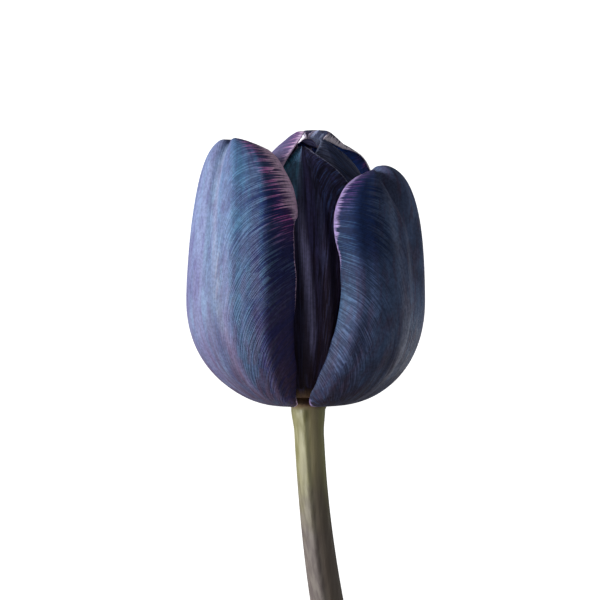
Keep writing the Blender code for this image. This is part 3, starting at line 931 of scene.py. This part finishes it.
def ground_colour(skin, cloud, bands, mottles):
    """The field with painted sheen, clouds, bands, spots, painted shade and the lining; and how much
    painted sheen there is.
    """
    tree, given = skin.tree, skin.given
    # Painted sheen: a paler colour on the side of the petal that faces the key light
    painted_sheen = product(tree, skin.shown_across("Wax"), given["Wax share"], skin.shown_above("Wax low", rise=0.3))
    colour = blend(tree, painted_sheen, given["Field"], given["Wax"])
    colour = skin.cover(colour, "Cloud", step(tree, cloud, 0.42, 0.62))
    colour = skin.cover(colour, "Band", step(tree, bands, 0.42, 0.6))
    colour = skin.cover(colour, "Mottle", step(tree, mottles, 0.46, 0.66))
    # Painted shade: a dark navy where the petal turns away from the key light, its edge frayed along the
    # veins
    frayed = maths(tree, "MULTIPLY_ADD", skin.streaks, 0.16, -0.2)
    frayed = maths(tree, "MULTIPLY_ADD", skin.fine, 0.24, frayed)
    painted_shade = step(tree, maths(tree, "ADD", skin.strayed, frayed), given["Deep start"], given["Deep end"])
    above = skin.shown_above("Deep low", rise=0.2)
    below = skin.shown_below("Deep high", fall=0.08, least=0.3)
    colour = skin.cover(colour, "Deep", painted_shade, above, below)
    return blend(tree, given["Inside"], colour, given["Lining"]), painted_sheen


def veined_colour(skin, colour, painted_sheen):
    """Dark lines along the veins, fainter under the painted sheen, and bright threads between them."""
    tree, given = skin.tree, skin.given
    lines = between(tree, given["Lines streaks"], skin.fine, skin.streaks)
    quiet = maths(tree, "MULTIPLY_ADD", painted_sheen, -0.5, 1.0)
    across = skin.shown_across("Lines", least=0.3)
    above = skin.shown_above("Lines low", rise=0.3, least=0.25)
    colour = skin.cover(colour, "Lines", lines, quiet, across, above)
    across = skin.shown_across("Threads")
    above = skin.shown_above("Threads low", rise=0.15)
    high = given["Threads high"]
    below = step(tree, skin.up, high, maths(tree, "ADD", high, 0.1), 1.0, 0.0)
    return skin.cover(colour, "Threads", skin.threads, across, above, below)


def midrib_and_highlight_colour(skin, colour):
    """A line up the petal, from one place across it below to another above, and a crease beside it. The
    line is the midrib's own colour on some petals and a painted highlight along the ridge on others; the
    crease is painted shade.
    """
    tree, given = skin.tree, skin.given
    path = step(tree, skin.up, 0.3, 0.88, given["Midrib low across"], given["Midrib high across"])
    beside = maths(tree, "SUBTRACT", maths(tree, "MULTIPLY_ADD", skin.wander, 0.2, skin.across), path)
    midrib = step(tree, maths(tree, "ABSOLUTE", beside), 0.0, given["Midrib width"], 1.0, 0.0)
    veined = step(tree, skin.fine, 0.0, 1.0, 1.0, 0.45)
    above = skin.shown_above("Midrib bottom", rise=0.25)
    below = skin.shown_below("Midrib top", fall=0.2, least=0.25)
    colour = skin.cover(colour, "Midrib", midrib, veined, above, below)
    # Painted shade: the dark of the vein lines in the crease beside the midrib
    crease_shade = maths(tree, "ADD", beside, product(tree, given["Midrib width"], 1.1))
    crease_shade = maths(tree, "ABSOLUTE", crease_shade)
    crease_shade = step(tree, crease_shade, 0.0, product(tree, given["Midrib width"], 0.8), 1.0, 0.0)
    return blend(tree, product(tree, crease_shade, given["Crease shade share"]), colour, given["Lines"])


def base_colour(skin, colour):
    """The foot in streaks, and the claw at its very base. The foot is the petal's own darker colour low
    down, and on some petals painted shade as well.
    """
    tree, given = skin.tree, skin.given
    # Own colour and painted shade, darker towards the base
    foot_and_shade = step(tree, skin.up, 0.0, given["Foot high"], 1.0, 0.0)
    colour = skin.cover(colour, "Foot", foot_and_shade, step(tree, skin.streaks, 0.0, 1.0, 1.0, 0.5))
    claw = step(tree, maths(tree, "MULTIPLY_ADD", skin.wander, 0.2, skin.up), 0.07, 0.14, 1.0, 0.0)
    return skin.cover(colour, "Claw", claw)


def margin_colour(skin, colour):
    """The blush that runs in from the margin along the veins, and the pale lip at the margin itself, partly
    its own colour and partly a painted highlight where the rolled margin catches light.
    """
    tree, given = skin.tree, skin.given
    ragged = maths(tree, "MULTIPLY_ADD", skin.fine, 0.9, -0.45)
    far = maths(tree, "DIVIDE", given["Rim"], given["Blush reach"])
    blush = step(tree, maths(tree, "MULTIPLY_ADD", ragged, 0.5, far), 0.2, 1.1, 1.0, 0.0)
    veined = step(tree, skin.threads, 0.1, 0.8, 0.12, 1.0)
    colour = skin.cover(colour, "Blush", blush, veined, skin.shown_above("Blush low", rise=0.15))
    widens = given["Lip widens"]
    widening = step(tree, skin.up, maths(tree, "SUBTRACT", widens, 0.02), maths(tree, "ADD", widens, 0.03))
    width = between(tree, widening, given["Lip narrow"], given["Lip wide"])
    near = maths(tree, "DIVIDE", given["Rim"], maths(tree, "MAXIMUM", width, 0.05))
    # Own pale colour and painted highlight along the margin
    lip_and_highlight = step(tree, maths(tree, "ADD", near, ragged), 0.3, 1.3, 1.0, 0.0)
    low = given["Lip low"]
    shown = step(tree, skin.up, maths(tree, "SUBTRACT", low, 0.08), low)
    shown = maths(tree, "MAXIMUM", shown, step(tree, skin.up, 0.16, 0.1))
    return skin.cover(colour, "Lip", lip_and_highlight, shown)


def skin_group(veins):
    """Colour, roughness and relief of a petal, built up in layers from its field to the lip and painted
    highlight at its margin.
    """
    outputs = {"Colour": "NodeSocketColor", "Roughness": "NodeSocketFloat", "Height": "NodeSocketFloat"}
    tree, given, result = new_group("petal skin", SKIN_INPUTS, outputs)
    vein, place = axes_of(tree, given["Vein"]), axes_of(tree, given["Place"])
    across, up = maths(tree, "MULTIPLY_ADD", place["X"], 2.0, -1.0), place["Y"]
    drawn = {"Vein": vein["X"], "Along": vein["Y"], "Octave": given["Octave"], "Seed": given["Seed"]}
    lines = put(tree, "ShaderNodeGroup", node_tree=veins)
    fill(tree, lines, drawn)
    fine, streaks, threads = (lines.outputs[label] for label in ("Fine", "Streaks", "Threads"))

    where = given["Object"]
    elsewhere = put(tree, "ShaderNodeMapping", {"Vector": where, "Location": (0.0, 0.0, 0.31)}).outputs[0]
    cloud = noise(tree, where, scale=110.0, detail=3.0)
    drift = noise(tree, elsewhere, scale=70.0, detail=2.0)
    grain = noise(tree, where, scale=1400.0, detail=2.0)
    stretched = []
    for times_across, times_up in ((6.0, 0.7), (16.0, 13.0)):
        spot = {"X": product(tree, across, times_across), "Y": product(tree, up, times_up)}
        spot = put(tree, "ShaderNodeCombineXYZ", {**spot, "Z": given["Seed"]}).outputs[0]
        stretched.append(noise(tree, spot, scale=1.0, detail=3.0))

    wander = maths(tree, "MULTIPLY_ADD", drift, 0.3, -0.15)
    strayed = maths(tree, "ADD", across, wander)
    skin = Skin(tree, given, across, up, wander, strayed, fine, streaks, threads)
    colour, painted_sheen = ground_colour(skin, cloud, *stretched)
    colour = midrib_and_highlight_colour(skin, veined_colour(skin, colour, painted_sheen))
    colour = margin_colour(skin, base_colour(skin, colour))

    darkest, palest = (maths(tree, "MULTIPLY_ADD", given["Grain"], sign, 1.0) for sign in (-1.0, 1.0))
    speckle = step(tree, grain, 0.36, 0.64, darkest, palest)
    speckle = put(tree, "ShaderNodeCombineColor", {k: speckle for k in range(3)}).outputs[0]
    tree.links.new(blend(tree, 1.0, colour, speckle, "MULTIPLY"), result["Colour"])
    roughness = maths(tree, "MULTIPLY_ADD", fine, 0.10, 0.46)
    tree.links.new(maths(tree, "MULTIPLY_ADD", cloud, 0.12, roughness), result["Roughness"])
    height = maths(tree, "MULTIPLY_ADD", streaks, -0.35, maths(tree, "MULTIPLY", fine, -1.0))
    tree.links.new(maths(tree, "MULTIPLY_ADD", grain, 0.35, height), result["Height"])
    return tree


def new_material(name):
    """A material with its node tree and its shader."""
    made = bpy.data.materials.new(name)
    made.use_nodes = True
    return made, made.node_tree, made.node_tree.nodes["Principled BSDF"]


def object_place(tree):
    """Where a point is in its object, which is where it lies in the scene."""
    return put(tree, "ShaderNodeTexCoord").outputs["Object"]


def petal_material(name, skin, seed, look):
    """The satin skin of one petal: its colours, its veins and the paler painted sheen over them."""
    made, tree, shader = new_material(name)
    inputs = {"Seed": seed, "Object": object_place(tree), **look}
    for label, uv_map in (("Vein", "veins"), ("Place", "petal")):
        inputs[label] = put(tree, "ShaderNodeUVMap", uv_map=uv_map).outputs[0]
    for label, attribute in (("Octave", "vein_octave"), ("Rim", "rim"), ("Inside", "inside")):
        inputs[label] = put(tree, "ShaderNodeAttribute", attribute_name=attribute).outputs["Fac"]
    group = put(tree, "ShaderNodeGroup", node_tree=skin)
    fill(tree, group, inputs)
    settings = {
        "Base Color": group.outputs["Colour"],
        "Roughness": group.outputs["Roughness"],
        "Specular IOR Level": 0.16,
        "Sheen Weight": 0.03,
        "Sheen Roughness": 0.4,
        "Sheen Tint": (0.55, 0.6, 0.9, 1),
    }
    fill(tree, shader, settings)
    add_relief(tree, shader, group.outputs["Height"], 0.05 * MM)
    return made


def stem_material():
    """Green under the bloom and grey mauve below, streaked, with a paler right side and a tan seat. The
    yellower right edge near the bloom is a painted highlight.
    """
    made, tree, shader = new_material("waxy_stem")
    where = object_place(tree)
    axes = axes_of(tree, where)
    below = maths(tree, "SUBTRACT", BLOOM_Y, axes["Y"])
    down = step(tree, below, 0.0, STEM_LOWER_COLOURS)
    lengthwise = put(tree, "ShaderNodeMapping", {"Vector": where, "Scale": (900.0, 45.0, 900.0)}).outputs[0]
    streaks = noise(tree, lengthwise, scale=1.0, detail=3.0)
    patches = noise(tree, where, scale=260.0, detail=3.0)
    streaked = step(tree, streaks, 0.35, 0.65)
    green = blend(tree, streaked, linear(124, 121, 92), linear(100, 97, 64))
    mauve = blend(tree, streaked, linear(100, 93, 88), linear(80, 72, 70))
    turned = maths(tree, "ADD", down, step(tree, patches, 0.3, 0.7, -0.1, 0.1))
    colour = blend(tree, step(tree, turned, 0.1, 0.95), green, mauve)
    start, slope, bend = STEM_DRIFT
    centre = maths(tree, "MULTIPLY_ADD", maths(tree, "MULTIPLY_ADD", below, bend, slope), below, start)
    aside = maths(tree, "SUBTRACT", axes["X"], centre)
    warm = product(tree, step(tree, aside, -0.8 * MM, 0.8 * MM), 0.45)
    tint = blend(tree, step(tree, down, 0.1, 0.5), linear(190, 176, 138), linear(134, 120, 106))
    colour = blend(tree, warm, colour, tint)
    # Painted highlight: a yellower right edge near the bloom, where the rim catches light
    edge = product(tree, step(tree, aside, 1.6 * MM, 3.6 * MM), step(tree, down, 0.1, 0.8, 0.8, 0.0))
    colour = blend(tree, edge, colour, linear(168, 170, 112))
    seat = step(tree, axes["Y"], BLOOM_Y - 0.6 * MM, BLOOM_Y + 1.2 * MM)
    tan = blend(tree, step(tree, patches, 0.4, 0.6), linear(128, 104, 78), linear(72, 36, 24))
    colour = blend(tree, seat, colour, tan)
    roughness = step(tree, patches, 0.3, 0.7, 0.42, 0.55)
    fill(tree, shader, {"Base Color": colour, "Roughness": roughness, "Specular IOR Level": 0.35})
    add_relief(tree, shader, streaks, 0.06 * MM)
    return made


def hidden_material(name, change, grain, speckle, lower, upper, roughness, depth):
    """The grainy skin of a piece inside the bloom. Its colours and its roughness change up the bloom."""
    made, tree, shader = new_material(name)
    where = object_place(tree)
    changed = step(tree, axes_of(tree, where)["Y"], BLOOM_Y + change[0], BLOOM_Y + change[1])
    grains = noise(tree, where, *grain)
    speckled = step(tree, grains, *speckle)
    colour = blend(tree, changed, blend(tree, speckled, *lower), blend(tree, speckled, *upper))
    fill(tree, shader, {"Base Color": colour, "Roughness": step(tree, changed, 0.0, 1.0, *roughness)})
    add_relief(tree, shader, grains, depth)
    return made


def pistil_material():
    """Pale green, creamier and rougher towards the stigma."""
    return hidden_material(
        "fresh_pistil",
        change=(25 * MM, 30 * MM),
        grain=(1800.0, 3.0),
        speckle=(0.35, 0.65),
        lower=(linear(168, 182, 104), linear(140, 158, 80)),
        upper=(linear(222, 212, 160), linear(190, 176, 118)),
        roughness=(0.4, 0.75),
        depth=0.08 * MM,
    )


def stamen_material():
    """Dark filaments, and anthers dusted with dark violet pollen."""
    return hidden_material(
        "dark_stamen",
        change=(18 * MM, 19 * MM),
        grain=(3200.0, 2.0),
        speckle=(0.4, 0.6),
        lower=(linear(60, 44, 62), linear(48, 34, 52)),
        upper=(linear(38, 28, 44), linear(78, 62, 84)),
        roughness=(0.45, 0.9),
        depth=0.1 * MM,
    )


def floor_material():
    """White paper that shines a little, so that it stays pale beside the dark petals."""
    made, tree, shader = new_material("pale_floor")
    settings = {
        "Base Color": (0.8, 0.8, 0.8, 1),
        "Roughness": 0.9,
        "Specular IOR Level": 0.0,
        "Emission Color": (1, 1, 1, 1),
        "Emission Strength": 0.7,
    }
    fill(tree, shader, settings)
    return made


# The look of each petal and each folded tip, by its name
LOOKS = {
    "outer_petal_left": {
        "Field": linear(68, 108, 142),
        # The left side, which faces the key light, is paler: painted sheen
        **layer("Wax", linear(103, 123, 154), start=0.4, end=0.0, share=0.9),
        **layer("Cloud", linear(64, 66, 108), share=0.42),
        **layer("Band", linear(116, 106, 146), share=0.34),
        **layer("Mottle", linear(64, 56, 104), share=0.4),
        # Painted shade near the right margin, where the petal turns away from the key light
        **layer("Deep", linear(14, 28, 98), start=0.38, end=0.9, high=0.82, share=0.95),
        "Lining": linear(60, 62, 100),
        **layer("Lines", linear(24, 38, 80), start=-0.1, end=0.65, low=0.36, share=0.62),
        **layer("Threads", linear(120, 152, 190), start=0.2, end=0.7, low=0.44, high=0.9, share=0.26),
        **layer("Midrib", linear(140, 126, 138), low_across=0.22, high_across=0.0, width=0.09, share=0.26),
        # Painted shade in the crease beside the midrib
        "Crease shade share": 0.3,
        **layer("Foot", linear(78, 58, 80), high=0.76, share=0.95),
        **layer("Blush", linear(240, 108, 206), reach=7.0, low=0.58, share=0.85),
        # A bright band on the rolled right margin: painted highlight over its pale mauve
        **layer("Lip", linear(244, 208, 238), narrow=0.3, wide=3.6, widens=0.69, low=0.5, share=0.9),
        "Grain": 0.13,
    },
    "outer_petal_right": {
        "Field": linear(90, 113, 156),
        # The left margin, which turns to the key light, is paler: painted sheen
        **layer("Wax", linear(76, 112, 146), start=-0.8, end=-0.97, low=0.3, share=0.75),
        **layer("Cloud", linear(52, 56, 82), share=0.5),
        **layer("Band", linear(78, 72, 96), share=0.3),
        **layer("Mottle", linear(90, 54, 72), share=0.36),
        # Painted shade right of the lit left margin, over the upper half
        **layer("Deep", linear(6, 32, 78), start=-0.35, end=-0.66, low=0.5, share=0.95),
        "Lining": linear(48, 50, 84),
        **layer("Lines", linear(20, 34, 66), start=-0.35, end=-0.7, low=-0.3, share=0.85),
        **layer("Threads", linear(84, 128, 172), start=-0.7, end=-0.93, low=0.36, high=0.76, share=0.36),
        # A painted highlight along the ridge low on the petal
        **layer(
            "Midrib",
            linear(168, 172, 196),
            low_across=-0.14,
            high_across=-0.38,
            width=0.11,
            top=0.6,
            share=0.65,
        ),
        # Painted shade in the crease beside the ridge
        "Crease shade share": 0.2,
        # Painted shade over the lower half
        **layer("Foot", linear(46, 28, 40), high=0.52, share=1.0),
        **layer("Blush", linear(150, 96, 180), reach=4.4, low=0.72, share=0.55),
        **layer("Lip", linear(196, 172, 230), narrow=0.4, wide=1.3, widens=0.7, low=0.66, share=0.75),
        "Grain": 0.16,
    },
    "outer_petal_back": {
        "Field": linear(72, 86, 118),
        **layer("Wax", linear(90, 102, 138), start=0.2, end=0.8, share=0.6),
        "Cloud": linear(66, 60, 92),
        "Lining": linear(14, 50, 116),
        **layer("Lines", linear(30, 36, 68), share=0.7),
        "Midrib": linear(96, 76, 98),
        **layer("Foot", linear(78, 70, 92), high=0.4),
        **layer("Blush", linear(150, 84, 128), reach=4.0, share=0.6),
        # Near white: a painted highlight on the band of the margin that faces up
        **layer("Lip", linear(250, 240, 255), narrow=0.3, wide=2.1, widens=0.86, share=0.92),
    },
    "inner_petal_front": {
        "Field": linear(82, 80, 134),
        **layer("Wax", linear(112, 216, 255), start=0.02, end=-0.08, low=0.6, share=0.6),
        "Cloud": linear(42, 32, 56),
        **layer("Band", linear(84, 92, 132), share=0.6),
        **layer("Mottle", linear(60, 26, 48), share=0.4),
        # Painted shade right of the ridge
        **layer("Deep", linear(18, 12, 40), start=0.06, end=0.24, low=0.1, high=0.68, share=0.8),
        "Lining": linear(40, 34, 64),
        **layer("Lines", linear(22, 18, 42), streaks=0.6, share=0.85),
        **layer("Threads", linear(92, 128, 204), start=0.14, end=0.4, low=0.6, high=0.88, share=0.42),
        # A painted highlight along the ridge
        **layer(
            "Midrib",
            linear(194, 190, 250),
            low_across=0.06,
            high_across=-0.08,
            width=0.08,
            bottom=0.16,
            top=0.8,
            share=0.8,
        ),
        # Near black over almost the whole petal: painted shade in the recess between the outer petals
        **layer("Foot", linear(38, 20, 20), high=0.92, share=1.0),
        **layer("Claw", linear(168, 130, 100), share=0.75),
        **layer("Lip", linear(176, 178, 214), narrow=0.2, wide=0.4),
    },
    "inner_petal_right": {
        "Field": linear(58, 76, 118),
        "Cloud": linear(44, 52, 86),
        "Lining": linear(34, 38, 70),
        "Lines": linear(22, 30, 54),
        "Midrib share": 0.0,
        "Foot": linear(82, 58, 44),
        **layer("Lip", linear(150, 160, 196), narrow=0.2, wide=0.5),
    },
    "inner_petal_left": {
        "Field": linear(146, 140, 192),
        "Cloud": linear(146, 134, 178),
        # Painted shade over the tip
        **layer("Deep", linear(58, 50, 88), start=-3.0, end=-2.0, low=0.83, share=1.0),
        "Lining": linear(34, 38, 70),
        **layer("Lines", linear(84, 70, 122), share=0.6),
        "Midrib share": 0.0,
        **layer("Foot", linear(70, 66, 116), high=0.95, share=0.95),
        **layer("Claw", linear(190, 168, 130), share=0.7),
        **layer("Blush", linear(255, 176, 246), reach=3.0, share=0.6),
        **layer("Lip", linear(240, 208, 244), narrow=0.5, wide=1.0),
    },
    "outer_petal_back_tip": {
        # Pale lilac blue, lightened by painted sheen where the tip curls over and faces up
        "Field": linear(204, 220, 255),
        "Cloud": linear(176, 176, 232),
        **layer("Lines", linear(108, 116, 180), low=-0.4, share=0.8),
        "Midrib share": 0.0,
        "Foot share": 0.0,
        **layer("Lip", linear(206, 186, 216), narrow=0.5, wide=0.5),
    },
    "inner_petal_left_tip": {
        "Field": linear(140, 140, 204),
        "Cloud": linear(120, 108, 160),
        **layer("Lines", linear(50, 48, 88), low=-0.4),
        "Midrib share": 0.0,
        "Foot share": 0.0,
        **layer("Lip", linear(176, 150, 170), narrow=0.3, wide=0.3),
    },
}


def add_floor():
    """A wide sheet under the flower that throws no light back on it."""
    start_fresh()
    bpy.ops.mesh.primitive_plane_add(size=FLOOR_SIZE, location=(0, 0, 0))
    floor = bpy.context.active_object
    floor.name = "floor"
    floor.visible_diffuse = False
    floor.visible_glossy = False
    floor.data.materials.append(floor_material())
    return floor


def add_light(name, lit, place, size, power):
    """A soft box that faces the bloom and lights only the objects in lit."""
    lamp = bpy.data.lights.new(name, "AREA")
    lamp.shape = "SQUARE"
    lamp.size = size
    lamp.energy = power
    obj = bpy.data.objects.new(name, lamp)
    bpy.context.scene.collection.objects.link(obj)
    obj.location = place
    aim = Vector(LIGHT_AIM) - Vector(place)
    obj.rotation_euler = aim.to_track_quat("-Z", "Y").to_euler()
    obj.light_linking.receiver_collection = lit
    return obj


def light_scene(floor):
    """An even room, a key light from the left, two weak lights from the right, and one for the floor."""
    scene = bpy.context.scene
    world = bpy.data.worlds.new("studio")
    world.use_nodes = True
    background = world.node_tree.nodes["Background"]
    fill(world.node_tree, background, {"Color": (1, 1, 1, 1), "Strength": WORLD_LIGHT})
    scene.world = world
    table = bpy.data.collections.new("table")
    table.objects.link(floor)
    flower = bpy.data.collections.new("flower")
    petals = bpy.data.collections.new("petals")
    for obj in scene.objects:
        if obj.type == "MESH" and obj is not floor:
            flower.objects.link(obj)
            if "petal" in obj.name:
                petals.objects.link(obj)
    add_light("key_light", flower, **KEY_LIGHT)
    add_light("rim_light", flower, **RIM_LIGHT)
    # The low light shines from under the floor, so only the flower stands in its way
    low_light = add_light("low_light", petals, **LOW_LIGHT)
    low_light.light_linking.blocker_collection = flower
    add_light("table_light", table, **TABLE_LIGHT)
    scene.view_settings.view_transform = "Standard"
    scene.view_settings.look = "None"


def add_camera():
    """Straight above the bloom, looking down."""
    lens = bpy.data.cameras.new("camera")
    lens.lens = CAMERA_LENS
    lens.sensor_width = CAMERA_SENSOR
    camera = bpy.data.objects.new("camera", lens)
    bpy.context.scene.collection.objects.link(camera)
    camera.location = CAMERA_PLACE
    bpy.context.scene.camera = camera


def main():
    skin = skin_group(vein_group())
    for number, petal in enumerate(PETALS):
        seed = PETAL_SEED * number
        make_petal(petal, petal_material(f"{petal.name}_skin", skin, seed, LOOKS[petal.name]))
    for number, fold in enumerate(FOLDS):
        seed = FOLD_SEED + FOLD_SEED_STEP * number
        make_fold(fold, petal_material(f"{fold.name}_skin", skin, seed, LOOKS[fold.name]))
    make_stem(stem_material())
    coats = {"pistil": pistil_material(), "stamen": stamen_material()}
    for name, node in frame["nodes"].items():
        kind = name.split("_")[0]
        if kind in coats:
            for place in node.material_slots:
                place.material = coats[kind]
    light_scene(add_floor())
    add_camera()


main()
